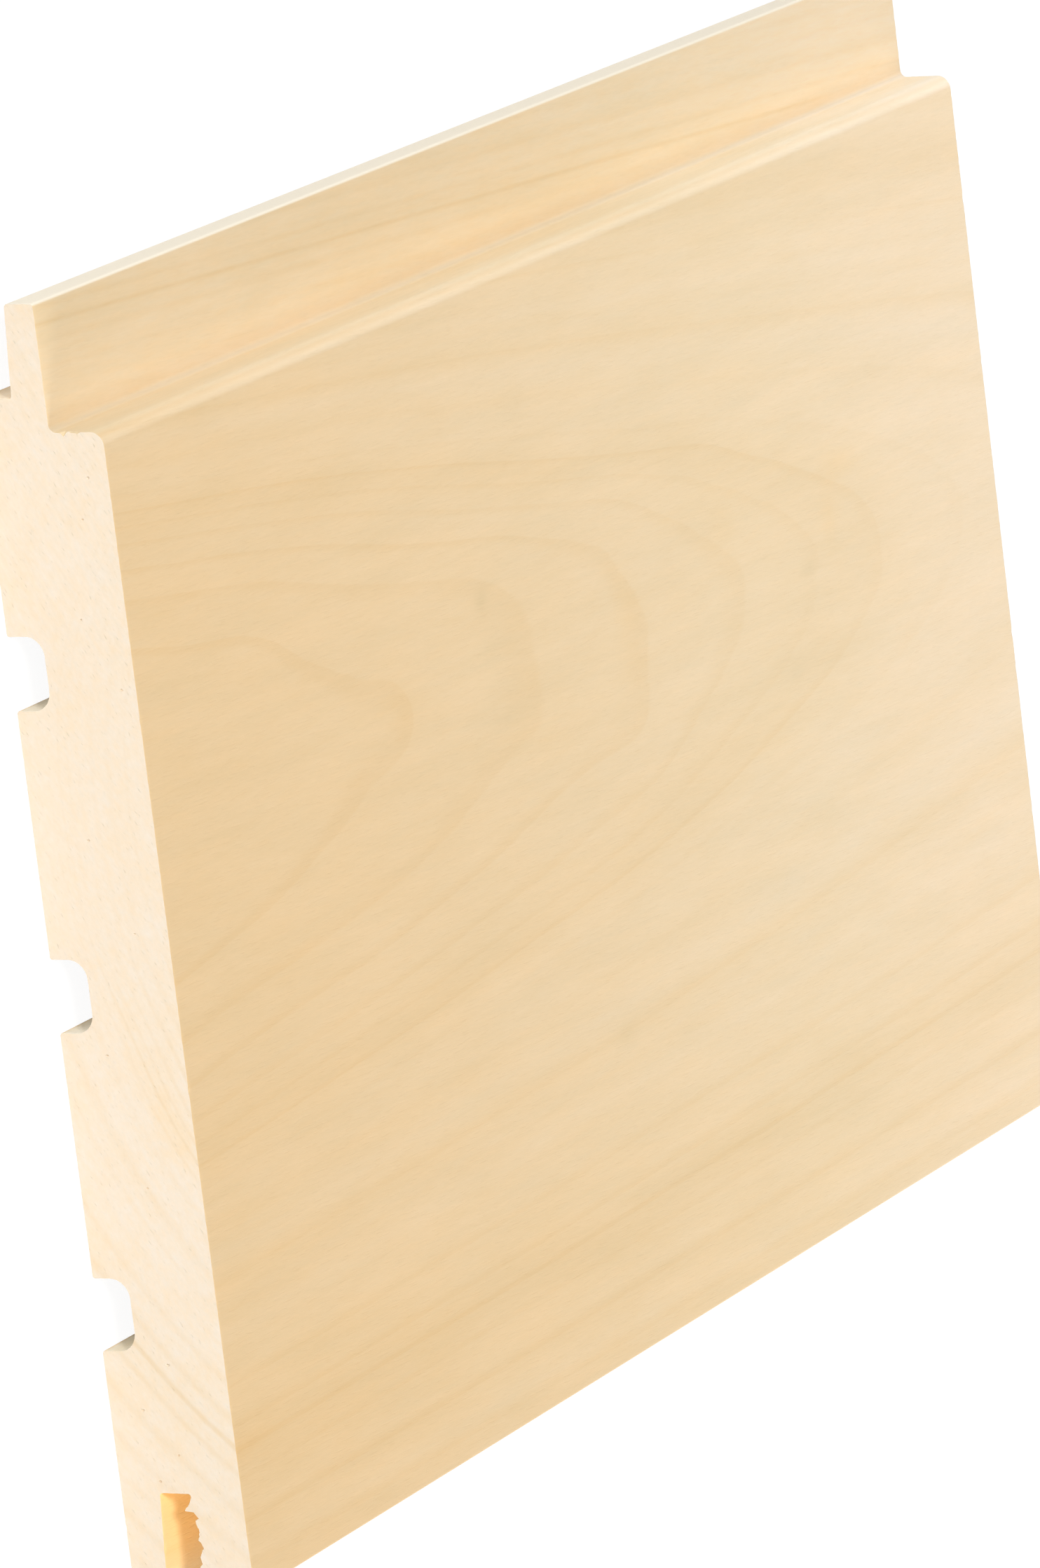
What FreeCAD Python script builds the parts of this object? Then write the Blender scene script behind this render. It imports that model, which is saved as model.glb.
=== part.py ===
import FreeCAD, Part
import math
import os

# A tongue and groove wall board, machined from one piece of wood.
# The board lies on its back. +X runs along the grain, +Y points out of the tongue edge
# and +Z out of the front face. The origin is the middle of the footprint, at the level
# that the back rests on. All sizes are in millimetres.

# Overall sizes. The cover width is what one laid board takes up on the wall:
# it runs from the groove edge to the back shoulder, where the next board butts.
board_length = 200.0
thickness = 15.0
cover_width = 130.0

# Tongue on the +Y edge. Its front is square to the edge and its back tapers to the tip.
tongue_reach = 10.0
tongue_front_height = 8.55
tongue_root_thickness = 4.15
tongue_tip_thickness = 3.55
tongue_tip_radius = 0.3
tongue_root_radius = 0.8

# Front shoulder. It stands back from the back shoulder, so that laid boards show
# an open joint line, and its outer arris is rounded.
joint_line_width = 3.7
shoulder_radius = 1.6

# Groove in the -Y edge, shaped to the tongue with room on each side and past the tip.
# The front clearance is the small one: it keeps the fronts of laid boards flush.
front_clearance = 0.05
back_clearance = 0.2
tip_clearance = 0.8
groove_corner_radius = 0.3

# Relief channels along the back, in a row that lies slightly towards the tongue
# from the middle of the cover width.
channel_count = 3
channel_pitch = 35.0
channel_width = 8.0
channel_depth = 4.3
channel_corner_radius = 2.5
channel_row_shift = 0.5

# Every other long arris is only eased.
arris_radius = 0.3

# Places across the board, from the groove edge to the tip of the tongue.
groove_edge_y = -(cover_width + tongue_reach) / 2
back_shoulder_y = groove_edge_y + cover_width
front_shoulder_y = back_shoulder_y - joint_line_width
tongue_tip_y = back_shoulder_y + tongue_reach
channel_row_y = groove_edge_y + cover_width / 2 + channel_row_shift

# Heights of the tongue's back, and the walls of the groove that runs round it.
tongue_back_root_z = tongue_front_height - tongue_root_thickness
tongue_back_tip_z = tongue_front_height - tongue_tip_thickness
tongue_taper = (tongue_back_tip_z - tongue_back_root_z) / tongue_reach
groove_depth = tongue_reach + tip_clearance
groove_bottom_y = groove_edge_y + groove_depth
groove_front_z = tongue_front_height + front_clearance
groove_back_mouth_z = tongue_back_root_z - back_clearance
groove_back_bottom_z = groove_back_mouth_z + tongue_taper * groove_depth


def channel_corners(middle_y):
    """Corners of one relief channel as (y, z, radius), going towards the tongue."""
    low_y = middle_y - channel_width / 2
    high_y = middle_y + channel_width / 2
    return [
        (low_y, 0.0, arris_radius),
        (low_y, channel_depth, channel_corner_radius),
        (high_y, channel_depth, channel_corner_radius),
        (high_y, 0.0, arris_radius),
    ]


def back_corners():
    """The back face, from the groove edge to the back shoulder, with its channels."""
    corners = [(groove_edge_y, 0.0, arris_radius)]
    first_y = channel_row_y - channel_pitch * (channel_count - 1) / 2
    for index in range(channel_count):
        corners += channel_corners(first_y + index * channel_pitch)
    corners.append((back_shoulder_y, 0.0, arris_radius))
    return corners


def tongue_corners():
    """The back shoulder, the tongue and the front shoulder."""
    return [
        (back_shoulder_y, tongue_back_root_z, arris_radius),
        (tongue_tip_y, tongue_back_tip_z, tongue_tip_radius),
        (tongue_tip_y, tongue_front_height, tongue_tip_radius),
        (front_shoulder_y, tongue_front_height, tongue_root_radius),
        (front_shoulder_y, thickness, shoulder_radius),
    ]


def groove_corners():
    """The groove edge from the front face down to the back cheek."""
    return [
        (groove_edge_y, thickness, arris_radius),
        (groove_edge_y, groove_front_z, arris_radius),
        (groove_bottom_y, groove_front_z, groove_corner_radius),
        (groove_bottom_y, groove_back_bottom_z, groove_corner_radius),
        (groove_edge_y, groove_back_mouth_z, arris_radius),
    ]


def tangent_length(before, corner, after, radius):
    """How far from the corner a round of this radius meets the two sides."""
    opening = (before - corner).getAngle(after - corner)
    return radius / math.tan(opening / 2)


def rounded_outline(corners):
    """A closed wire through the corners, each one rounded to its own radius.

    Where two rounds would need more than the side between them, both shrink to fit it.
    """
    count = len(corners)
    points = [FreeCAD.Vector(-board_length / 2, y, z) for y, z, radius in corners]
    reach = []
    for i in range(count):
        before, after = points[i - 1], points[(i + 1) % count]
        reach.append(tangent_length(before, points[i], after, corners[i][2]))
    share = [1.0] * count
    for i in range(count):
        j = (i + 1) % count
        side = (points[j] - points[i]).Length
        if reach[i] + reach[j] > side:
            fit = side / (reach[i] + reach[j])
            share[i] = min(share[i], fit)
            share[j] = min(share[j], fit)

    edges = []
    starts = []
    ends = []
    arcs = []
    for i in range(count):
        corner = points[i]
        to_before = (points[i - 1] - corner).normalize()
        to_after = (points[(i + 1) % count] - corner).normalize()
        start = corner + to_before * reach[i] * share[i]
        end = corner + to_after * reach[i] * share[i]
        radius = corners[i][2] * share[i]
        half_opening = to_before.getAngle(to_after) / 2
        inward = (to_before + to_after).normalize()
        middle = corner + inward * (radius / math.sin(half_opening) - radius)
        starts.append(start)
        ends.append(end)
        arcs.append(Part.Arc(start, middle, end).toShape())
    for i in range(count):
        next_start = starts[(i + 1) % count]
        edges.append(arcs[i])
        if (next_start - ends[i]).Length > Part.Precision.confusion():
            edges.append(Part.LineSegment(ends[i], next_start).toShape())
    return Part.Wire(edges)


def make_board():
    """The whole section, drawn once round and run along the grain."""
    outline = rounded_outline(back_corners() + tongue_corners() + groove_corners())
    section = Part.Face(outline)
    return section.extrude(FreeCAD.Vector(board_length, 0, 0))


os.makedirs("parts", exist_ok=True)
board = make_board()
board.exportStep("parts/board.step")
print("board", board.isValid(), round(board.Volume, 1), board.BoundBox)
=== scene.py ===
import math

import bpy
from mathutils import Matrix, Vector, noise
from mathutils.geometry import delaunay_2d_cdt


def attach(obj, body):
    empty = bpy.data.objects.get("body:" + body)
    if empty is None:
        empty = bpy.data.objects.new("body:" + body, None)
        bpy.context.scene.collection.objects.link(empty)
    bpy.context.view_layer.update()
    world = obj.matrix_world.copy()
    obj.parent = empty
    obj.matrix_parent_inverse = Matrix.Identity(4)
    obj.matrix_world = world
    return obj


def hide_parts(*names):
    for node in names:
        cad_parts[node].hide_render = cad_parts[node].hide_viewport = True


# The looks of a tongue and groove board of pale, bare hardwood.
# The board lies on its back on a pale floor. +X runs along the grain, +Y points out of
# the tongue edge and +Z out of the front face. Lengths are in millimetres and are turned
# into Blender's metres where a mesh, a lamp or the camera is made.

MM = 0.001

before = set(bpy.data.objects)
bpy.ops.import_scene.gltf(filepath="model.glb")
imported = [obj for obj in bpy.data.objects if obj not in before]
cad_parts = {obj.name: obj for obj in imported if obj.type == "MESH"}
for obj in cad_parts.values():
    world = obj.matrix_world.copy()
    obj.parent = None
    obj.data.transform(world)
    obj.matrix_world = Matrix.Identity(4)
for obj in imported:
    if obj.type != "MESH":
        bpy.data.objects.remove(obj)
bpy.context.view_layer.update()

# The board's section, with the same sizes as the CAD model.
board_length = 200.0
thickness = 15.0
cover_width = 130.0
tongue_reach = 10.0
tongue_front_height = 8.55
tongue_root_thickness = 4.15
tongue_tip_thickness = 3.55
tongue_tip_radius = 0.3
tongue_root_radius = 0.8
joint_line_width = 3.7
shoulder_radius = 1.6
front_clearance = 0.05
back_clearance = 0.2
tip_clearance = 0.8
groove_corner_radius = 0.3
channel_pitch = 35.0
channel_width = 8.0
channel_depth = 4.3
channel_corner_radius = 2.5
channel_row_shift = 0.5
arris_radius = 0.3

near_end_x = -board_length / 2
far_end_x = board_length / 2
groove_edge_y = -(cover_width + tongue_reach) / 2
back_shoulder_y = groove_edge_y + cover_width
front_shoulder_y = back_shoulder_y - joint_line_width
tongue_tip_y = back_shoulder_y + tongue_reach
channel_row_y = groove_edge_y + cover_width / 2 + channel_row_shift
tongue_back_root_z = tongue_front_height - tongue_root_thickness
tongue_back_tip_z = tongue_front_height - tongue_tip_thickness
groove_depth = tongue_reach + tip_clearance
groove_bottom_y = groove_edge_y + groove_depth
groove_front_z = tongue_front_height + front_clearance
groove_back_mouth_z = tongue_back_root_z - back_clearance
tongue_taper = (tongue_back_tip_z - tongue_back_root_z) / tongue_reach
groove_back_bottom_z = groove_back_mouth_z + tongue_taper * groove_depth


def section_corners():
    """The corners of the section as (y, z, radius), from the groove edge along the back."""
    corners = [(groove_edge_y, 0.0, arris_radius)]
    for step in (-1, 0, 1):
        middle_y = channel_row_y + step * channel_pitch
        low_y = middle_y - channel_width / 2
        high_y = middle_y + channel_width / 2
        corners += [
            (low_y, 0.0, arris_radius),
            (low_y, channel_depth, channel_corner_radius),
            (high_y, channel_depth, channel_corner_radius),
            (high_y, 0.0, arris_radius),
        ]
    corners += [
        (back_shoulder_y, 0.0, arris_radius),
        (back_shoulder_y, tongue_back_root_z, arris_radius),
        (tongue_tip_y, tongue_back_tip_z, tongue_tip_radius),
        (tongue_tip_y, tongue_front_height, tongue_tip_radius),
        (front_shoulder_y, tongue_front_height, tongue_root_radius),
        (front_shoulder_y, thickness, shoulder_radius),
        (groove_edge_y, thickness, arris_radius),
        (groove_edge_y, groove_front_z, arris_radius),
        (groove_bottom_y, groove_front_z, groove_corner_radius),
        (groove_bottom_y, groove_back_bottom_z, groove_corner_radius),
        (groove_edge_y, groove_back_mouth_z, arris_radius),
    ]
    return corners


# How closely the outline's points are spaced, in plain stretches and in torn ones, how many
# steps each round has, and the part of a side that a round may take up.
outline_step = 0.25
torn_step = 0.1
arc_steps = 7
side_share = 0.499

# How near a point of the outline is to a wall that it counts as part of.
groove_front_reach = 0.32
front_shoulder_reach = 0.1


def round_corner(before, corner, after, radius, room):
    """Points of the arc that rounds one corner, where each side gives it this much room."""
    to_before = (before - corner).normalized()
    to_after = (after - corner).normalized()
    half_opening = to_before.angle(to_after) / 2
    reach = min(radius / math.tan(half_opening), room)
    radius = reach * math.tan(half_opening)
    inward = (to_before + to_after).normalized()
    centre = corner + inward * (radius / math.sin(half_opening))
    first = corner + to_before * reach - centre
    last = corner + to_after * reach - centre
    points = []
    for step in range(arc_steps + 1):
        share = step / arc_steps
        spoke = first.lerp(last, share).normalized() * radius
        points.append(centre + spoke)
    return points


def section_outline():
    """The whole section as closely spaced points (y, z), its corners rounded."""
    corners = section_corners()
    places = [Vector((y, z)) for y, z, radius in corners]
    count = len(corners)
    outline = []
    for i in range(count):
        before, corner, after = places[i - 1], places[i], places[(i + 1) % count]
        room = min((before - corner).length, (after - corner).length) * side_share
        arc = round_corner(before, corner, after, corners[i][2], room)
        if outline:
            outline += points_between(outline[-1], arc[0])
        outline += arc
    outline += points_between(outline[-1], outline[0])
    return outline


def points_between(start, end):
    """Evenly spaced points between two others, closer where the saw tore the wood."""
    middle = start.lerp(end, 0.5)
    torn = on_groove_front(middle) or on_front_shoulder(middle)
    pieces = max(1, round((end - start).length / (torn_step if torn else outline_step)))
    return [start.lerp(end, step / pieces) for step in range(1, pieces)]


def on_groove_front(point):
    """Whether a point of the outline is on the groove's front wall."""
    return abs(point.y - groove_front_z) < groove_front_reach and point.x < groove_bottom_y


def on_front_shoulder(point):
    """Whether a point of the outline is on the upright face of the front shoulder."""
    beside = abs(point.x - front_shoulder_y) < front_shoulder_reach
    return beside and point.y > tongue_front_height


def outline_inward(outline):
    """For each outline point, the direction straight into the wood."""
    count = len(outline)
    inward = []
    for i in range(count):
        along = (outline[(i + 1) % count] - outline[i - 1]).normalized()
        inward.append(Vector((-along.y, along.x)))
    return inward


# What the saw left at the ends: an uneven arris all round, and at the near end two stretches
# torn out, on the groove's front wall and on the front shoulder. The stations are distances
# from the end plane into the board.
end_stations = [0.0, 0.05, 0.12, 0.22, 0.35, 0.5, 0.7, 0.95, 1.25]
end_stations += [1.6, 2.1, 2.8, 4.0, 6.5, 11.0, 20.0, 35.0, 60.0]
arris_wear = 0.035
arris_wear_depth = 0.16

# The arris is nicked where the noise passes a start. What is past it, times the number that
# goes with it, adds to the wear and to how far along the board the wear runs.
nick_start = 0.42
nick_wear = 0.25
nick_depth_start = 0.3
nick_depth = 4.0

# How far along the board each tear runs, and how far it reaches into the wood. A negative
# reach is wood left standing proud: in the groove it is a splinter with a depth of its own.
# The groove's reaches go by the distance from its mouth, the shoulder's by the height.
groove_tear_depth = 1.7
splinter_depth = 0.6
groove_tear = [
    (0.0, 0.1),
    (0.9, 0.3),
    (1.6, 0.15),
    (2.3, 0.3),
    (2.7, 0.0),
    (3.0, 0.35),
    (3.8, 0.2),
    (4.8, 0.7),
    (5.1, 0.7),
    (5.7, 0.2),
    (6.1, 0.4),
    (6.7, 0.5),
    (7.5, 0.2),
    (7.9, 0.25),
    (8.1, 0.6),
    (8.8, 0.1),
    (8.9, -0.85),
    (9.0, -1.0),
    (9.6, -0.4),
    (10.4, 0.0),
]
shoulder_tear_depth = 0.6
shoulder_tear = [
    (9.4, 0.0),
    (9.9, 0.1),
    (10.1, 0.45),
    (10.35, 0.3),
    (10.6, 0.0),
    (10.9, -0.15),
    (11.1, 0.05),
    (11.9, 0.18),
    (12.3, 0.0),
]

# Small teeth along the torn edges, and the least reach that has them.
tooth_size = 0.09
least_toothed = 0.08


def eased(share):
    """A share from 0 to 1 that starts and ends gently."""
    share = min(1.0, max(0.0, share))
    return share * share * (3 - 2 * share)


def noise_at(*place):
    """Smooth noise about 0 at a place, always the same for the same place."""
    return noise.noise(Vector(place))


def torn_edge(place, tear):
    """The reach of a tear at a place along it."""
    for (low, low_reach), (high, high_reach) in zip(tear, tear[1:]):
        if low <= place <= high:
            return low_reach + (high_reach - low_reach) * (place - low) / (high - low)
    return 0.0


def tear_at(point, distance):
    """How far the wood is torn back at a point of the outline near the near end."""
    if on_groove_front(point):
        place = point.x - groove_edge_y
        reach = torn_edge(place, groove_tear)
        depth = groove_tear_depth if reach > 0 else splinter_depth
    elif on_front_shoulder(point):
        place = point.y
        reach = torn_edge(place, shoulder_tear)
        depth = shoulder_tear_depth
    else:
        return 0.0
    fibre = noise_at(place * 2.3, 3.0, 1.0)
    hair = noise_at(place * 6.0, distance * 0.8, 5.0)
    tooth = 0.0
    if reach > least_toothed:
        tooth = tooth_size * noise_at(place * 3.4, distance * 0.5, 9.0)
    fray = 1.0 - eased(distance / (depth * (1.0 + 0.55 * fibre)))
    return (reach + 0.25 * reach * hair + tooth) * fray


def wear_at(point, distance, end):
    """How far the surface is worn or torn back near an end: 0 is the near one, 1 the far."""
    ripple = noise_at(point.x * 1.7, point.y * 1.7, 20.0 * end)
    nick = noise_at(point.x * 0.45, point.y * 0.45, 7.0 + 20.0 * end)
    wear = arris_wear * (1.0 + 0.9 * ripple) + nick_wear * max(0.0, nick - nick_start)
    longer = nick_depth * max(0.0, nick - nick_depth_start)
    depth = arris_wear_depth * (1.0 + 0.8 * ripple + longer)
    total = wear * (1.0 - eased(distance / depth))
    if end == 0:
        total += tear_at(point, distance)
    return total


def stations():
    """Every place along the board that gets a ring of points, as (x, distance, end)."""
    near = [(near_end_x + distance, distance, 0) for distance in end_stations]
    far = [(far_end_x - distance, distance, 1) for distance in reversed(end_stations)]
    return near + [(0.0, board_length / 2, 0)] + far


# Small pits in the near end: the height, the distance from the groove edge and the radius.
# They are narrower than high, and their floors are smaller than their rims.
end_pits = [
    (7.9, 25.1, 0.24),
    (4.1, 20.0, 0.20),
    (7.8, 15.1, 0.17),
    (5.1, 12.1, 0.20),
    (6.7, 82.5, 0.22),
    (5.5, 59.1, 0.18),
    (13.2, 98.7, 0.20),
    (12.5, 121.4, 0.24),
    (11.2, 117.0, 0.14),
    (9.4, 106.3, 0.15),
    (10.9, 72.4, 0.15),
    (8.3, 44.6, 0.16),
]
pit_depth = 0.15
pit_sides = 9
pit_width_share = 0.7
pit_floor_share = 0.55


def pit_points():
    """The points of every pit as (place, how deep), a rim and a floor for each."""
    points = []
    for z, y, radius in end_pits:
        middle = Vector((groove_edge_y + y, z))
        for size, deep in ((1.0, 0.0), (pit_floor_share, pit_depth)):
            for side in range(pit_sides):
                angle = math.tau * side / pit_sides
                spoke = Vector((pit_width_share * math.cos(angle), math.sin(angle)))
                reach = radius * size * (1.0 + 0.35 * noise_at(z * 9, y * 9, side * 1.3))
                points.append((middle + spoke * reach, deep))
    return points


# Points nearer than this are one point to the triangles of an end.
same_point = 1e-7


def cap_triangles(ring, inner):
    """Triangles that fill one end, with its outline as their rim and some points inside it."""
    count = len(ring)
    rim = [(i, (i + 1) % count) for i in range(count)]
    result = delaunay_2d_cdt(ring + inner, rim, [], 1, same_point)
    points, faces, sources = result[0], result[2], result[3]
    if len(points) != count + len(inner):
        raise ValueError("the end's outline crosses itself")
    first = [origin[0] for origin in sources]
    return [tuple(first[corner] for corner in face) for face in faces]


def board_rings():
    """The section at each station along the board, worn and torn, as (x, points)."""
    outline = section_outline()
    inward = outline_inward(outline)
    rings = []
    for x, distance, end in stations():
        ring = []
        for point, direction in zip(outline, inward):
            ring.append(point + direction * wear_at(point, distance, end))
        rings.append((x, ring))
    return rings


def side_faces(ring_count, count):
    """The faces between each ring of points and the next."""
    faces = []
    for row in range(ring_count - 1):
        low, high = row * count, (row + 1) * count
        for i in range(count):
            j = (i + 1) % count
            faces.append((low + i, low + j, high + j, high + i))
    return faces


def near_end_faces(ring, pits, pit_start):
    """The near end's triangles, where the pits' points are numbered from pit_start on."""
    count = len(ring)
    faces = []
    for corners in cap_triangles(ring, [place for place, deep in pits]):
        a, b, c = [i if i < count else pit_start + i - count for i in corners]
        faces.append((c, b, a))
    return faces


def far_end_faces(ring, ring_start):
    """The far end's triangles, where its ring's points are numbered from ring_start on."""
    return [(ring_start + a, ring_start + b, ring_start + c) for a, b, c in cap_triangles(ring, [])]


# The mesh's two materials, and the angle beyond which an edge stays sharp.
long_grain_slot = 0
end_grain_slot = 1
sharp_angle = math.radians(38)


def board_mesh():
    """The board as one closed mesh, its sides in the long grain and its ends in the end grain."""
    rings = board_rings()
    count = len(rings[0][1])
    pits = pit_points()
    vertices = [(x * MM, point.x * MM, point.y * MM) for x, ring in rings for point in ring]
    pit_start = len(vertices)
    vertices += [((near_end_x + deep) * MM, place.x * MM, place.y * MM) for place, deep in pits]
    sides = side_faces(len(rings), count)
    ends = near_end_faces(rings[0][1], pits, pit_start)
    ends += far_end_faces(rings[-1][1], pit_start - count)
    mesh = bpy.data.meshes.new("tongue_and_groove_board")
    mesh.from_pydata(vertices, [], sides + ends)
    slots = [long_grain_slot] * len(sides) + [end_grain_slot] * len(ends)
    mesh.polygons.foreach_set("material_index", slots)
    mesh.shade_smooth()
    mesh.set_sharp_from_angle(angle=sharp_angle)
    mesh.validate()
    mesh.update()
    return mesh


class Value:
    """A socket of a node tree that can stand in a formula."""

    def __init__(self, tree, socket):
        self.tree = tree
        self.socket = socket

    def math(self, operation, *others):
        """A sum or other operation on this value and others."""
        node = self.tree.nodes.new("ShaderNodeMath")
        node.operation = operation
        for place, value in enumerate((self,) + others):
            feed(self.tree, node.inputs[place], value)
        return Value(self.tree, node.outputs[0])

    def vector_math(self, operation, *others):
        """The same for vectors."""
        node = self.tree.nodes.new("ShaderNodeVectorMath")
        node.operation = operation
        for place, value in enumerate((self,) + others):
            feed(self.tree, node.inputs[place], value)
        return Value(self.tree, node.outputs["Value" if operation == "DOT_PRODUCT" else "Vector"])

    def parts(self):
        """The three numbers of a vector."""
        node = self.tree.nodes.new("ShaderNodeSeparateXYZ")
        self.tree.links.new(self.socket, node.inputs[0])
        return [Value(self.tree, output) for output in node.outputs]

    def __add__(self, other):
        return self.math("ADD", other)

    def __sub__(self, other):
        return self.math("SUBTRACT", other)

    def __rsub__(self, other):
        return self * -1.0 + other

    def __mul__(self, other):
        return self.math("MULTIPLY", other)

    def __truediv__(self, other):
        return self.math("DIVIDE", other)


def feed(tree, socket, value):
    """Links a socket to a Value, or sets it to a plain number, tuple or colour."""
    if isinstance(value, Value):
        tree.links.new(value.socket, socket)
    else:
        socket.default_value = value


def ramp(value, low, high, from_value=0.0, to_value=1.0):
    """A gentle step from one number to another as a value goes from low to high."""
    node = value.tree.nodes.new("ShaderNodeMapRange")
    node.interpolation_type = "SMOOTHSTEP"
    feed(value.tree, node.inputs[0], value)
    for place, number in zip((1, 2, 3, 4), (low, high, from_value, to_value)):
        node.inputs[place].default_value = number
    return Value(value.tree, node.outputs[0])


def curve(value, points):
    """A value sent through straight lines between points, all from 0 to 1."""
    node = value.tree.nodes.new("ShaderNodeFloatCurve")
    line = node.mapping.curves[0]
    line.points[0].location = points[0]
    line.points[-1].location = points[-1]
    for x, y in points[1:-1]:
        line.points.new(x, y)
    for point in line.points:
        point.handle_type = "VECTOR"
    node.mapping.update()
    feed(value.tree, node.inputs["Value"], value)
    return Value(value.tree, node.outputs[0])


def vector(x, y, z):
    """Three numbers or Values as one vector."""
    tree = next(v.tree for v in (x, y, z) if isinstance(v, Value))
    node = tree.nodes.new("ShaderNodeCombineXYZ")
    for socket, value in zip(node.inputs, (x, y, z)):
        feed(tree, socket, value)
    return Value(tree, node.outputs[0])


def sized(place, size, shift):
    """A place measured in steps of its own size each way, then shifted."""
    steps = tuple(1.0 / length for length in size)
    return place.vector_math("MULTIPLY_ADD", steps, (shift, shift, shift))


def mottle(place, size, detail=2.0, rough=0.5, shift=0.0):
    """Smooth noise about 0, from -0.5 to 0.5, whose patches are about this size."""
    node = place.tree.nodes.new("ShaderNodeTexNoise")
    node.inputs["Scale"].default_value = 1.0
    node.inputs["Detail"].default_value = detail
    node.inputs["Roughness"].default_value = rough
    feed(place.tree, node.inputs["Vector"], sized(place, size, shift))
    return Value(place.tree, node.outputs["Fac"]) - 0.5


def humps(place, table):
    """The sum of soft humps, each with a middle, a reach each way and an amount."""
    total = None
    for middle, reach, amount in table:
        steps = tuple(1.0 / length for length in reach)
        start = tuple(-where / length for where, length in zip(middle, reach))
        away = place.vector_math("MULTIPLY_ADD", steps, start)
        hump = (away.vector_math("DOT_PRODUCT", away) * -1.0).math("EXPONENT") * amount
        total = hump if total is None else total + hump
    return total


def blend(share, first, second):
    """Two colours mixed by a share from 0 to 1."""
    return mix_colours(share, first, second, "MIX", True)


def tinted(tone, amount, tint):
    """A tone multiplied by a tint as far as the amount says, or the other way if it is negative."""
    return mix_colours(amount, tone, (*tint, 1.0), "MULTIPLY", False)


def mix_colours(share, first, second, mode, clamped):
    """Two colours put together in one of the ways that the mix node has."""
    node = share.tree.nodes.new("ShaderNodeMix")
    node.data_type = "RGBA"
    node.blend_type = mode
    node.clamp_factor = clamped
    feed(share.tree, node.inputs[0], share)
    feed(share.tree, node.inputs[6], first)
    feed(share.tree, node.inputs[7], second)
    return Value(share.tree, node.outputs[2])


def colour(red, green, blue):
    """A colour as it looks on a screen, 0 to 255, in the linear numbers of a shader."""
    linear = []
    for level in (red, green, blue):
        level = level / 255
        linear.append(level / 12.92 if level <= 0.04045 else ((level + 0.055) / 1.055) ** 2.4)
    return (*linear, 1.0)


# How the tree grew. The heart of the trunk runs above the front face, rises towards the
# far end and drifts across the board. The rings are stretched on the tongue's side of the
# heart, and on the tongue itself they are shifted. Millimetres, from the near end's corner
# at the groove edge, as the tables below are.
heart_height = 61.7
heart_rise = 0.066
heart_y = 85.7
heart_drift = -0.058
tongue_side_stretch = 0.0066
tongue_shift = -4.6
tongue_drift = -0.05

# The growth rings, outwards from the middle of the figure. Each one ends at a distance from
# the heart beyond the heart's height, and darkens towards its end by its own strength.
growth_rings = [
    (1.70, 0.00),
    (3.15, 0.75),
    (5.60, 0.40),
    (7.30, 0.50),
    (8.90, 0.35),
    (10.10, 0.30),
    (11.20, 0.50),
    (12.60, 0.15),
    (15.30, 0.15),
    (19.20, 0.30),
    (21.30, 0.12),
    (23.90, 0.12),
    (26.70, 0.35),
    (29.90, 0.45),
    (31.80, 1.00),
    (34.20, 0.20),
    (37.90, 0.40),
    (41.80, 0.30),
    (44.50, 0.20),
    (47.60, 0.40),
    (51.00, 0.30),
    (54.00, 0.25),
    (60.00, 0.20),
]

# The dark part of each ring, as a share of its width. It is darkest at the peak and gone at
# the stop: a sharp pair for the planed face and a soft pair for the tongue and the ends.
late_share = 0.28
sharp_peak = 0.94
sharp_stop = 0.99
soft_peak = 0.75
soft_stop = 1.0

# The planed face and the sawn ends show even the strongest rings no darker than this.
planed_late_limit = 0.45
sawn_late_limit = 0.70

# Broad bands of paler wood, above 0, and of duller wood, below 0, by the same distance.
broad_bands = [
    (0.0, 0.0),
    (6.0, 0.0),
    (8.3, 0.3),
    (10.8, -0.55),
    (12.3, 0.35),
    (13.8, 0.55),
    (15.4, 0.15),
    (17.1, 1.0),
    (19.1, -0.15),
    (20.6, 0.5),
    (21.6, 0.25),
    (22.4, 0.8),
    (24.0, 0.3),
    (25.2, 0.4),
    (26.8, -0.15),
    (29.2, -0.1),
    (30.2, -0.7),
    (31.6, -1.0),
    (33.2, -0.75),
    (34.4, -0.45),
    (36.5, -0.05),
    (37.8, -0.6),
    (39.2, 0.1),
    (40.4, 0.5),
    (42.2, -0.3),
    (45.0, 0.3),
    (48.0, -0.3),
    (52.0, 0.0),
    (60.0, 0.0),
]

# The rings and the bands are both listed up to this distance.
ring_span = 60.0

# Bends in the rings: the middle and the reach as (x, y, depth), and how far the ring moves.
any_depth = 90.0
ring_bends = [
    ((0, 109, 0), (14, 10, any_depth), 0.25),
    ((24, 99, 0), (10, 5, any_depth), -0.48),
    ((53, 83, 0), (8, 8, any_depth), -0.6),
    ((74, 94, 0), (18, 6, any_depth), -0.6),
    ((10, 61, 0), (25, 6, any_depth), 0.6),
    ((80, 101.5, 0), (30, 4, any_depth), 0.3),
    ((52, 116, 0), (25, 5, any_depth), -0.3),
    ((130, 105, 0), (30, 6, any_depth), 0.35),
    ((95, 56, 0), (30, 5, any_depth), -0.35),
    ((90, 42, 0), (60, 6, any_depth), -0.55),
    ((86, 87.5, 0), (8, 4, any_depth), -0.22),
    ((86, 73.5, 0), (8, 4.5, any_depth), -0.28),
    ((103, 92, 0), (11, 5, any_depth), -0.5),
    ((106, 67, 0), (10, 6.5, any_depth), -0.65),
    ((128, 98, 0), (12, 4, any_depth), -0.4),
]

# Uneven growth: the size of its patches and how far it moves the rings.
uneven_size = (30, 7, 7)
uneven_growth = 0.35

# Across the board, from the groove edge: where the tongue starts, and where its tip does,
# which is painted near white as glare.
tongue_start = cover_width - joint_line_width
tip_start = cover_width + tongue_reach - 0.4


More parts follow.
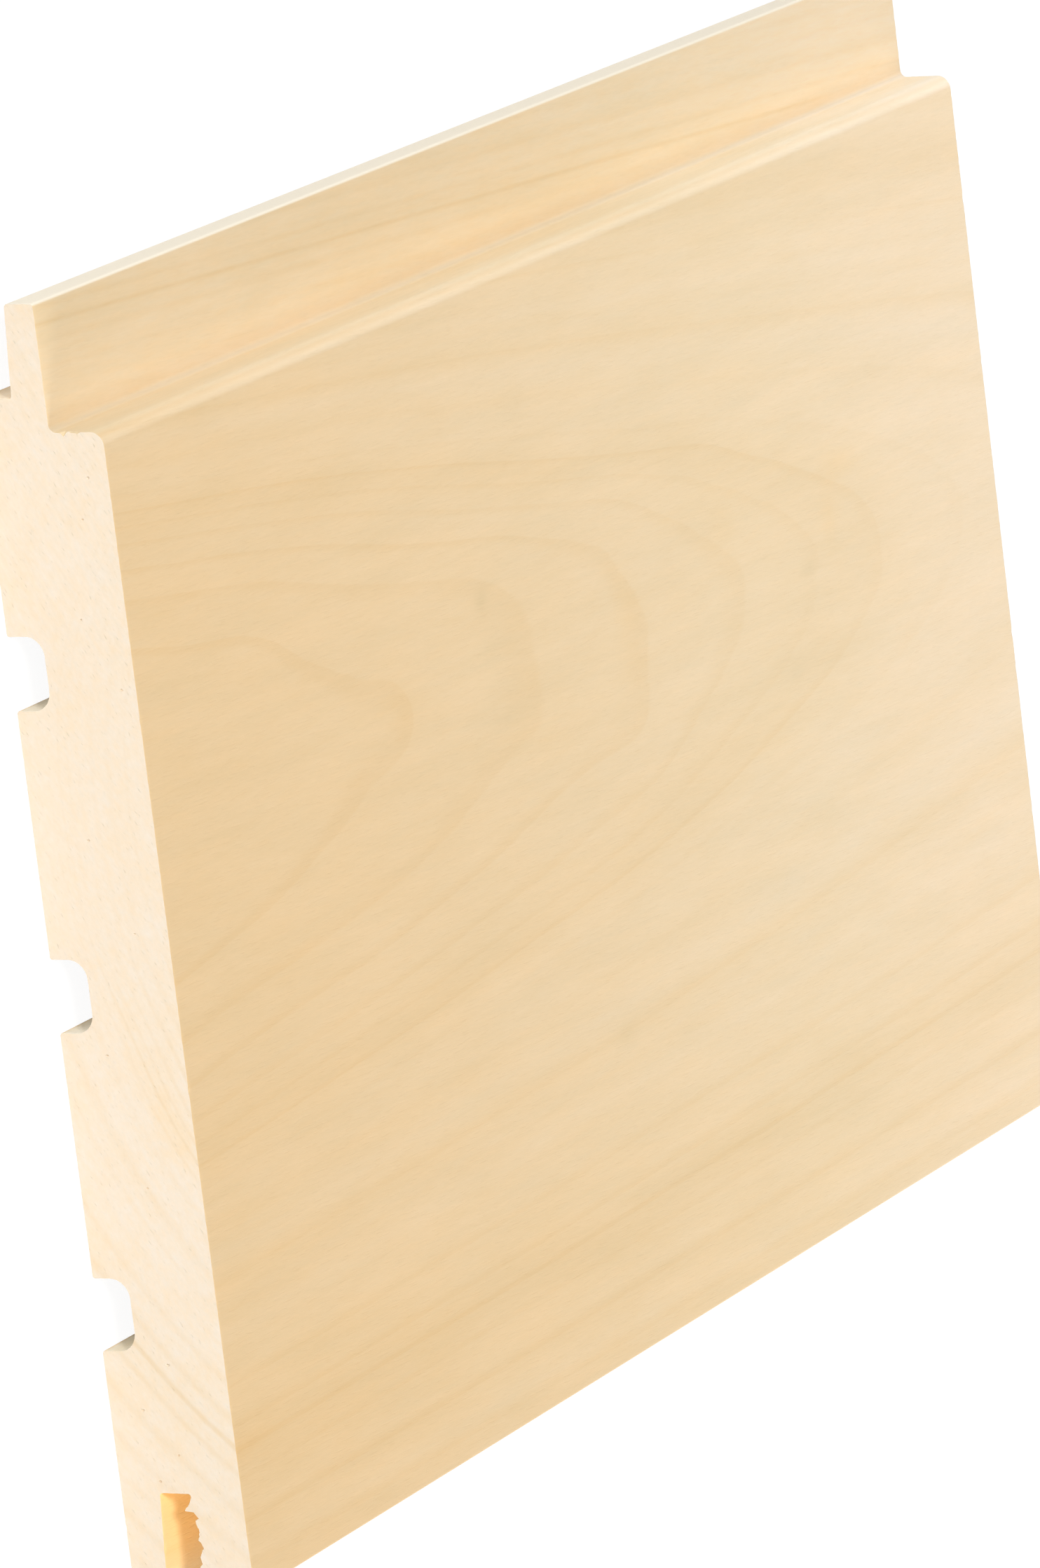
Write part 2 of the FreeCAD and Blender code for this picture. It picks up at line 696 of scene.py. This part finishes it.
def board_place(tree):
    """x and y from the near end's corner at the groove edge, and the depth below the face."""
    node = tree.nodes.new("ShaderNodeTexCoord")
    place = Value(tree, node.outputs["Object"])
    corner = (board_length / 2, -groove_edge_y, thickness)
    return place.vector_math("MULTIPLY_ADD", (1 / MM, 1 / MM, -1 / MM), corner)


def off_back(depth):
    """1 away from the plane of the back and 0 on it."""
    return ramp(depth, thickness - 0.7, thickness - 0.2, 1.0, 0.0)


def growth(place):
    """The distance from the heart beyond its height: the same all round one ring."""
    x, y, depth = place.parts()
    off_heart = y - x * heart_drift - heart_y
    over = off_heart.math("MAXIMUM", 0.0)
    across = off_heart + over * over * tongue_side_stretch
    down = depth + x * heart_rise + heart_height
    distance = (across * across + down * down).math("SQRT") - heart_height
    distance = distance + humps(place, ring_bends)
    on_tongue = ramp(y, tongue_start - 0.2, tongue_start + 0.8) * off_back(depth)
    distance = distance + on_tongue * (x * tongue_drift + tongue_shift)
    return distance + mottle(place, uneven_size, 3.0, 0.55) * uneven_growth


def late_wood(distance, peak, stop):
    """How dark the late wood is: it rises towards the end of each ring and then stops."""
    count = len(growth_rings)
    ends = [(0.0, 0.0)]
    strengths = [(0.0, 0.0)]
    for number, (place, strength) in enumerate(growth_rings):
        ends.append((place / ring_span, (number + 1) / count))
        strengths.append((place / ring_span, strength))
    share = distance / ring_span
    within = (curve(share, ends) * count).math("FRACT")
    rise = ramp(within, peak - late_share, peak)
    fall = ramp(within, peak, stop, 1.0, 0.0)
    return rise * fall * curve(share, strengths)


def broad_tone(distance):
    """How pale the broad bands are and how dull the others, each from 0 up."""
    points = [(place / ring_span, 0.5 + 0.5 * tone) for place, tone in broad_bands]
    tone = curve(distance / ring_span, points) * 2.0 - 1.0
    return tone.math("MAXIMUM", 0.0), (tone * -1.0).math("MAXIMUM", 0.0)


# Colours of the wood: at the two ends of the board, the far one paler, which is painted sheen,
# of the sawn ends, of the tongue's tip, near white, which is painted glare, of the groove's
# walls, paler and warmer, which is a painted glow, and of the back and of the relief channels
# in it, paler, which is painted light where shade falls.
near_wood = colour(234, 202, 154)
far_sheen_wood = colour(255, 239, 207)
end_wood = colour(234.5, 218, 195.5)
tip_glare_wood = colour(255, 245, 225)
groove_glow_wood = colour(255, 218, 158)
back_painted_light = colour(255, 236, 205)
channel_painted_light = colour(255, 244, 222)

# What parts of the grain do to the light that the wood gives back.
late_tint = (0.962, 0.922, 0.845)
dull_tint = (0.972, 0.955, 0.915)
pale_tint = (1.000, 1.022, 1.070)
shade_tint = (0.930, 0.940, 0.925)
warm_tint = (1.010, 0.970, 0.900)
pore_tint = (0.920, 0.880, 0.830)

# The same for places on the board: the tongue, lighter, which is painted light where the front
# shoulder shades it, and its near part, the face towards the groove edge, the front shoulder's
# flank and round, paler, which is painted light and painted sheen, the inner corner and the
# round at the tongue's root, darker, which is painted shade, the far part, warmer, which is
# painted sheen, and the groove's front wall, paler, which is painted light.
tongue_painted_light_tint = (1.085, 1.100, 1.125)
near_tongue_tint = (1.018, 1.073, 1.178)
low_edge_tint = (1.010, 1.000, 0.985)
edge_tint = (1.040, 1.145, 1.310)
round_sheen_tint = (1.070, 1.120, 1.220)
crease_shade_tint = (0.890, 0.880, 0.880)
root_shade_tint = (0.960, 0.955, 0.965)
far_sheen_tint = (1.030, 1.000, 1.000)
groove_front_glow_tint = (1.000, 1.130, 1.130)

# Where one look fades into the next, from the first number to the second: x from the near
# end, y from the groove edge and the depth below the face.
near_to_far_x = (-40.0, 350.0)
far_x = (130.0, 200.0)
near_tongue_x = (0.0, 110.0)
low_edge_y = (80.0, 10.0)
groove_front_depth = (9.0, 9.8)
back_depth = (10.4, 11.2)
back_y = (0.4, 0.9)

# How far the back takes on its paler colour, which is painted light where shade falls.
back_share = 0.7

# The rings fade out of the planed wood towards the corner by the tongue and the far end.
faded_y = (112.0, 119.0)
faded_x = (105.0, 135.0)

# Marks in the face: grey flecks and a duller patch, then warmer spots, and a spot where the
# rings hardly show.
face_flecks = [
    ((73.4, 91.2, 0), (1.6, 1.3, 3), 1.0),
    ((85.8, 110.3, 0), (3.5, 2.0, 3), 0.55),
    ((94.0, 35.9, 0), (2.8, 1.2, 3), 0.8),
    ((150.2, 77.1, 0), (2.2, 0.9, 3), 0.7),
    ((144.2, 66.0, 0), (2.0, 0.9, 3), 0.5),
    ((77.0, 83.0, 0), (5.0, 9.0, 3), 0.30),
]
warm_spots = [
    ((160.5, 87.3, 0), (4.5, 1.8, 3), 0.8),
    ((156.5, 82.0, 0), (2.0, 4.0, 3), 0.6),
    ((105.5, 82.5, 0), (3.0, 6.0, 3), 0.5),
    ((129.5, 86.5, 0), (4.0, 2.5, 3), 0.5),
    ((54.0, 84.0, 0), (4.0, 3.5, 3), 0.3),
    ((125.0, 4.0, 0), (45.0, 5.0, 3), 0.4),
    ((138.0, 95.0, 0), (26.0, 22.0, 3), 0.3),
    ((1.0, 15.8, 0), (7.0, 1.3, 2), 0.6),
]
quiet_spots = [
    ((158.0, 73.0, 0), (14.0, 8.0, any_depth), -0.6),
]

# A warm stain in the near end, along one ring.
end_stains = [
    ((0, 49.5, 1.4), (9, 2.5, 1.6), 0.8),
    ((0, 53.0, 3.8), (9, 3.0, 1.6), 1.0),
    ((0, 59.0, 6.5), (9, 4.0, 1.3), 0.5),
]

# The sizes of the patches in the planed wood, along the grain, across it and down: soft
# ones first, then the fibres, the finest hairs and the pores.
cloud_size = (26, 4, 4)
warmth_size = (16, 5, 5)
streak_size = (8, 0.8, 0.8)
hue_size = (5, 0.9, 0.9)
fibre_size = (2.6, 0.4, 0.4)
hair_size = (1.2, 0.2, 0.2)
pore_size = (2.2, 0.22, 0.22)

# How far the fibres drift across the board for each step along it, the height of their
# relief, and how matt the face and the edges are.
grain_slope = 0.05
fibre_relief = 0.02
face_roughness = 0.6
edge_roughness = 0.85
planed_gloss = 0.3

# The sizes of the patches in the sawn ends: along the grain, then along the saw's marks and
# across them.
end_cloud_size = (5, 5, 5)
end_patch_size = (1.2, 1.4, 0.7)
saw_size = (0.5, 0.7, 0.35)
stroke_size = (9, 6, 0.6)
fleck_size = (0.4, 0.9, 0.22)

# The direction of the saw's marks on the ends, across the board and down it, where its long
# strokes begin to show, where the rings fade and the flecks grow, and the finish.
saw_along = 0.88
saw_across = 0.47
stroke_y = (98.0, 108.0)
end_rings_y = (52.0, 75.0)
more_flecks_y = (98.0, 116.0)
end_relief = 0.03
end_roughness = 0.8
end_gloss = 0.2


def plain_shader(material):
    """The node tree of a new material and its one shader."""
    material.use_nodes = True
    tree = material.node_tree
    return tree, tree.nodes["Principled BSDF"]


def long_grain():
    """Planed faces, edges and channels: rings, fibres and small pores along the grain."""
    material = bpy.data.materials.new("planed_long_grain")
    tree, shader = plain_shader(material)
    place = board_place(tree)
    x, y, depth = place.parts()
    grain = vector(x, y + x * grain_slope, depth)
    fibre = mottle(grain, fibre_size, 3.0, 0.6)
    hair = mottle(grain, hair_size, 1.0, 0.5, 60.0)
    pore = ramp(mottle(grain, pore_size, 0.0, 0.5, 40.0), 0.10, 0.30)
    on_tongue = ramp(y, tongue_start, tongue_start + 1.0) * off_back(depth)
    tone = part_colours(x, y, depth)
    tone = with_rings(tone, place, on_tongue)
    tone = with_edges(tone, place, on_tongue)
    warmth = mottle(grain, warmth_size, 2.0, 0.5, 30.0)
    hue = mottle(grain, hue_size, 3.0, 0.6, 50.0)
    warm = warmth * 0.9 + hue * (on_tongue * 1.2 + 1.1) + humps(place, warm_spots)
    tone = tinted(tone, warm, warm_tint)
    cloud = mottle(grain, cloud_size)
    streak = mottle(grain, streak_size, 3.0, 0.6, 80.0)
    dark = cloud * 1.6 + streak * 1.1 + fibre * 0.7 + hair * 0.5 + humps(place, face_flecks)
    tone = tinted(tone, dark, shade_tint)
    tone = tinted(tone, pore * 0.15, pore_tint)
    # Painted glare: the tongue's tip turns near white.
    tone = blend(ramp(y, tip_start, tip_start + 0.3), tone, tip_glare_wood)
    feed(tree, shader.inputs["Base Color"], tone)
    feed(tree, shader.inputs["Roughness"], ramp(depth, 1.5, 2.5, face_roughness, edge_roughness))
    relief = fibre + hair * 0.5 - pore * 0.5
    add_relief(tree, shader, relief * (1.0 - on_tongue * 0.6), fibre_relief)
    shader.inputs["Specular IOR Level"].default_value = planed_gloss
    return material


def part_colours(x, y, depth):
    """The colour of each part of the planed wood, with painted sheen, glow and light among them."""
    # Painted sheen: the wood turns paler and less saturated towards the far end, and warmer in the
    # far part.
    tone = blend(ramp(x, *near_to_far_x), near_wood, far_sheen_wood)
    tone = tinted(tone, ramp(x, *far_x), far_sheen_tint)
    in_groove = inside_groove(y, depth)
    # Painted glow: the groove's walls take a paler, warmer colour for the light inside the groove.
    tone = blend(in_groove, tone, groove_glow_wood)
    # Painted light: the groove's front wall is paler, so it gives back more light into the groove.
    tone = tinted(tone, in_groove * ramp(depth, *groove_front_depth, 1.0, 0.0), groove_front_glow_tint)
    # Painted light: the back and the relief channels are paler where shade falls.
    tone = blend(ramp(depth, *back_depth) * ramp(y, *back_y) * back_share, tone, back_painted_light)
    return blend(inside_channels(y, depth), tone, channel_painted_light)


def with_rings(tone, place, on_tongue):
    """The planed wood with the rings and their broad bands, quieter on the tongue."""
    x, y, depth = place.parts()
    rings = growth(place)
    pale, dull = broad_tone(rings)
    faded = ramp(y, *faded_y) * ramp(x, *faded_x)
    clear = 1.0 - ramp(y, tongue_start - 0.5, tongue_start - 0.2) * off_back(depth)
    clear = clear * (1.0 - faded)
    clear = (clear + humps(place, quiet_spots)).math("MAXIMUM", 0.0)
    sharp = late_wood(rings, sharp_peak, sharp_stop).math("MINIMUM", planed_late_limit) * clear
    soft = late_wood(rings, soft_peak, soft_stop)
    soft = soft * ramp(y, tongue_start + 1.0, tongue_start + 2.0) * off_back(depth)
    quiet = 1.0 - on_tongue * 0.3
    tone = tinted(tone, sharp + soft, late_tint)
    tone = tinted(tone, dull * quiet, dull_tint)
    return tinted(tone, pale * quiet, pale_tint)


def with_edges(tone, place, on_tongue):
    """The planed wood with the tints of the tongue, the edges and the front shoulder, among them
    painted light, painted sheen and painted shade.
    """
    x, y, depth = place.parts()
    tone = tinted(tone, ramp(y, *low_edge_y) * ramp(depth, 0.1, 1.0, 1.0, 0.0), low_edge_tint)
    # Painted light: the tongue is lighter where the front shoulder shades it from a lamp.
    tone = tinted(tone, on_tongue, tongue_painted_light_tint)
    tone = tinted(tone, on_tongue * ramp(x, *near_tongue_x, 1.0, 0.0), near_tongue_tint)
    # Painted light: the front shoulder's flank is paler, as if more brightly lit.
    tone = tinted(tone, on_flank(y, depth), edge_tint)
    # Painted sheen: the front shoulder's rounded arris is paler.
    tone = tinted(tone, on_round(y, depth), round_sheen_tint)
    # Painted shade: the inner corner at the tongue's root is darker, more so towards the far end.
    tone = tinted(tone, in_crease(y, depth) * ramp(x, 0.0, 180.0, 1.0, 1.3), crease_shade_tint)
    # Painted shade: the small round at the tongue's root is darker.
    return tinted(tone, in_root_round(y, depth), root_shade_tint)


def inside_groove(y, depth):
    """1 on the walls of the groove and 0 elsewhere."""
    front = thickness - groove_front_z
    back = thickness - groove_back_mouth_z
    inner = ramp(y, groove_depth, groove_depth + 0.3, 1.0, 0.0)
    inner = inner * ramp(depth, front - 0.3, front - 0.1)
    return inner * ramp(depth, back + 0.1, back + 0.3, 1.0, 0.0)


def inside_channels(y, depth):
    """1 on the walls of the relief channels and 0 elsewhere."""
    deepest = thickness - channel_depth
    across = ramp(y, groove_depth + 2.0, groove_depth + 4.0)
    across = across * ramp(y, cover_width - 4.0, cover_width - 2.0, 1.0, 0.0)
    return across * ramp(depth, deepest - 0.3, deepest - 0.1) * off_back(depth)


def on_flank(y, depth):
    """1 on the upright face of the front shoulder and 0 elsewhere."""
    beside = ramp(y, tongue_start - 0.9, tongue_start - 0.2)
    beside = beside * ramp(y, tongue_start + 0.1, tongue_start + 0.8, 1.0, 0.0)
    return beside * ramp(depth, 0.3, 1.3) * off_back(depth)


def on_round(y, depth):
    """1 on the upper half of the front shoulder's rounded arris and 0 elsewhere."""
    upper = ramp(y, tongue_start - 1.6, tongue_start - 1.1)
    upper = upper * ramp(y, tongue_start - 0.9, tongue_start - 0.3, 1.0, 0.15)
    return upper * ramp(depth, 2.0, 3.0, 1.0, 0.0)


def in_root_round(y, depth):
    """1 in the small round at the root of the tongue and 0 elsewhere."""
    inner = ramp(y, tongue_start - 0.05, tongue_start + 0.05)
    inner = inner * ramp(y, tongue_start + 0.2, tongue_start + 0.6, 1.0, 0.0)
    return inner * ramp(depth, 5.4, 5.8) * ramp(depth, 7.0, 8.0, 1.0, 0.0)


def in_crease(y, depth):
    """1 in the wide inner corner where the tongue leaves the front shoulder, and 0 elsewhere."""
    beside = ramp(y, tongue_start + 0.3, tongue_start + 3.2, 1.0, 0.0)
    beside = beside * ramp(y, tongue_start - 6.3, tongue_start - 5.3)
    return beside * ramp(depth, 5.8, 6.3) * off_back(depth)


def add_relief(tree, shader, height, size):
    """Fine relief, where a height of 1 stands this many millimetres proud."""
    bump = tree.nodes.new("ShaderNodeBump")
    bump.inputs["Strength"].default_value = 1.0
    bump.inputs["Distance"].default_value = size * MM
    feed(tree, bump.inputs["Height"], height)
    tree.links.new(bump.outputs[0], shader.inputs["Normal"])


def end_grain():
    """The sawn ends: the same rings seen across, paler and duller, with short flecks."""
    material = bpy.data.materials.new("sawn_end_grain")
    tree, shader = plain_shader(material)
    place = board_place(tree)
    x, y, depth = place.parts()
    rings = growth(place)
    pale, dull = broad_tone(rings)
    sawn = vector(x, y * saw_along + depth * saw_across, depth * saw_along - y * saw_across)
    cloud = mottle(place, end_cloud_size, 3.0, 0.6)
    patch = mottle(sawn, end_patch_size, 2.0, 0.6, 10.0)
    saw = mottle(sawn, saw_size, 2.0, 0.6)
    stroke = mottle(sawn, stroke_size, 1.0, 0.5, 15.0) * ramp(y, *stroke_y)
    fleck = ramp(mottle(sawn, fleck_size, 1.0, 0.5, 20.0), 0.14, 0.30)
    clear = ramp(y, *end_rings_y, 1.2, 0.25)
    late = late_wood(rings, soft_peak, soft_stop).math("MINIMUM", sawn_late_limit)
    tone = tinted(end_wood, late * clear * 1.35, late_tint)
    tone = tinted(tone, dull * clear * 0.4, dull_tint)
    tone = tinted(tone, pale * clear * 0.5, pale_tint)
    tone = tinted(tone, cloud * 2.4 + patch * 2.4 + humps(place, end_stains), warm_tint)
    dark = saw * 1.1 + stroke + fleck * ramp(y, *more_flecks_y, 1.0, 1.5)
    tone = tinted(tone, dark, shade_tint)
    feed(tree, shader.inputs["Base Color"], tone)
    add_relief(tree, shader, saw + cloud - fleck, end_relief)
    shader.inputs["Roughness"].default_value = end_roughness
    shader.inputs["Specular IOR Level"].default_value = end_gloss
    return material


def make_board():
    """The piece that stands for the CAD board."""
    piece = bpy.data.objects.new("board_detailed", board_mesh())
    bpy.context.collection.objects.link(piece)
    piece.data.materials.append(long_grain())
    piece.data.materials.append(end_grain())
    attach(piece, "root")
    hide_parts("board")


# The floor's reach each way in metres. Seen directly, it glows nearly white and gives back
# a small share of the lamps' light, in which the board's shadow shows. To the light that
# goes on to the board it is a plain pale surface.
floor_half_width = 4.0
floor_glow = 0.93
shadow_share = 0.12
floor_share = 0.7


def seen_directly(tree):
    """1 for rays from the camera and for rays through glass or off gloss, else 0."""
    node = tree.nodes.new("ShaderNodeLightPath")
    total = Value(tree, node.outputs["Is Camera Ray"])
    total = total + Value(tree, node.outputs["Is Glossy Ray"])
    total = total + Value(tree, node.outputs["Is Transmission Ray"])
    return total.math("MINIMUM", 1.0)


def floor_material():
    """A pale floor that looks white where it is lit and keeps the board's shadow."""
    material = bpy.data.materials.new("pale_floor")
    material.use_nodes = True
    tree = material.node_tree
    tree.nodes.clear()
    output = tree.nodes.new("ShaderNodeOutputMaterial")
    plain = tree.nodes.new("ShaderNodeBsdfDiffuse")
    plain.inputs["Color"].default_value = (floor_share, floor_share, floor_share, 1.0)
    shaded = tree.nodes.new("ShaderNodeBsdfDiffuse")
    shaded.inputs["Color"].default_value = (shadow_share, shadow_share, shadow_share, 1.0)
    glow = tree.nodes.new("ShaderNodeEmission")
    glow.inputs["Strength"].default_value = floor_glow
    white = tree.nodes.new("ShaderNodeAddShader")
    tree.links.new(shaded.outputs[0], white.inputs[0])
    tree.links.new(glow.outputs[0], white.inputs[1])
    choice = tree.nodes.new("ShaderNodeMixShader")
    feed(tree, choice.inputs[0], seen_directly(tree))
    tree.links.new(plain.outputs[0], choice.inputs[1])
    tree.links.new(white.outputs[0], choice.inputs[2])
    tree.links.new(choice.outputs[0], output.inputs["Surface"])
    return material


def make_floor():
    """A large level floor at the height that the board's back rests on."""
    half = floor_half_width
    mesh = bpy.data.meshes.new("floor")
    corners = [(-half, -half, 0), (half, -half, 0), (half, half, 0), (-half, half, 0)]
    mesh.from_pydata(corners, [], [(0, 1, 2, 3)])
    mesh.materials.append(floor_material())
    floor = bpy.data.objects.new("floor", mesh)
    bpy.context.collection.objects.link(floor)


# How bright the sky is as a light. Seen directly, it is white.
sky_level = 0.35


def make_world():
    """Even light from all round, with a white background behind the floor."""
    world = bpy.data.worlds.new("studio")
    world.use_nodes = True
    tree = world.node_tree
    sky = tree.nodes["Background"]
    share = seen_directly(tree)
    sky.inputs["Color"].default_value = (1.0, 1.0, 1.0, 1.0)
    feed(tree, sky.inputs["Strength"], share * (1.0 - sky_level) + sky_level)
    bpy.context.scene.world = world


# Soft lamps: where each shines from, its distance and width in metres, and how much light
# it gives a surface that faces it, where 1 shows a colour as it is written.
lamps = [
    ("key_lamp", (-0.58, 0.34, 0.74), 3.0, 0.70, 0.565),
    ("low_end_lamp", (-0.80, 0.59, 0.07), 3.0, 1.20, 0.30),
    ("back_lamp", (0.97, 0.20, 0.07), 3.0, 1.40, 0.45),
    ("groove_side_lamp", (-0.25, -0.945, 0.20), 3.0, 1.20, 0.69),
]


def make_lamps():
    """Round lamps that face the middle of the board."""
    for name, direction, distance, width, level in lamps:
        light = bpy.data.lights.new(name, "AREA")
        light.shape = "DISK"
        light.size = width
        light.energy = level * math.pi * math.pi * distance * distance
        lamp = bpy.data.objects.new(name, light)
        towards = Vector(direction).normalized()
        lamp.location = towards * distance
        lamp.rotation_mode = "QUATERNION"
        lamp.rotation_quaternion = towards.to_track_quat("Z", "Y")
        bpy.context.collection.objects.link(lamp)


# The camera, worked out from the board's edges and corners in the photo: places in metres,
# the lens and the sensor in millimetres.
camera_place = Vector((-1.014291, 0.245289, 0.586733))
camera_target = Vector((-0.022954, -0.000584, 0.015))
picture_up = Vector((0.241865, 0.970308, 0.002094))
lens_length = 242.03
sensor_width = 36.0


def make_camera():
    """The photo's viewpoint, rolled so that the board's width runs up the picture."""
    data = bpy.data.cameras.new("camera")
    data.lens = lens_length
    data.sensor_width = sensor_width
    camera = bpy.data.objects.new("camera", data)
    back = (camera_place - camera_target).normalized()
    right = picture_up.cross(back).normalized()
    up = back.cross(right)
    turn = Matrix((right, up, back)).transposed().to_4x4()
    camera.matrix_world = Matrix.Translation(camera_place) @ turn
    bpy.context.collection.objects.link(camera)
    bpy.context.scene.camera = camera


make_board()
make_floor()
make_world()
make_lamps()
make_camera()
bpy.context.scene.view_settings.view_transform = "Standard"
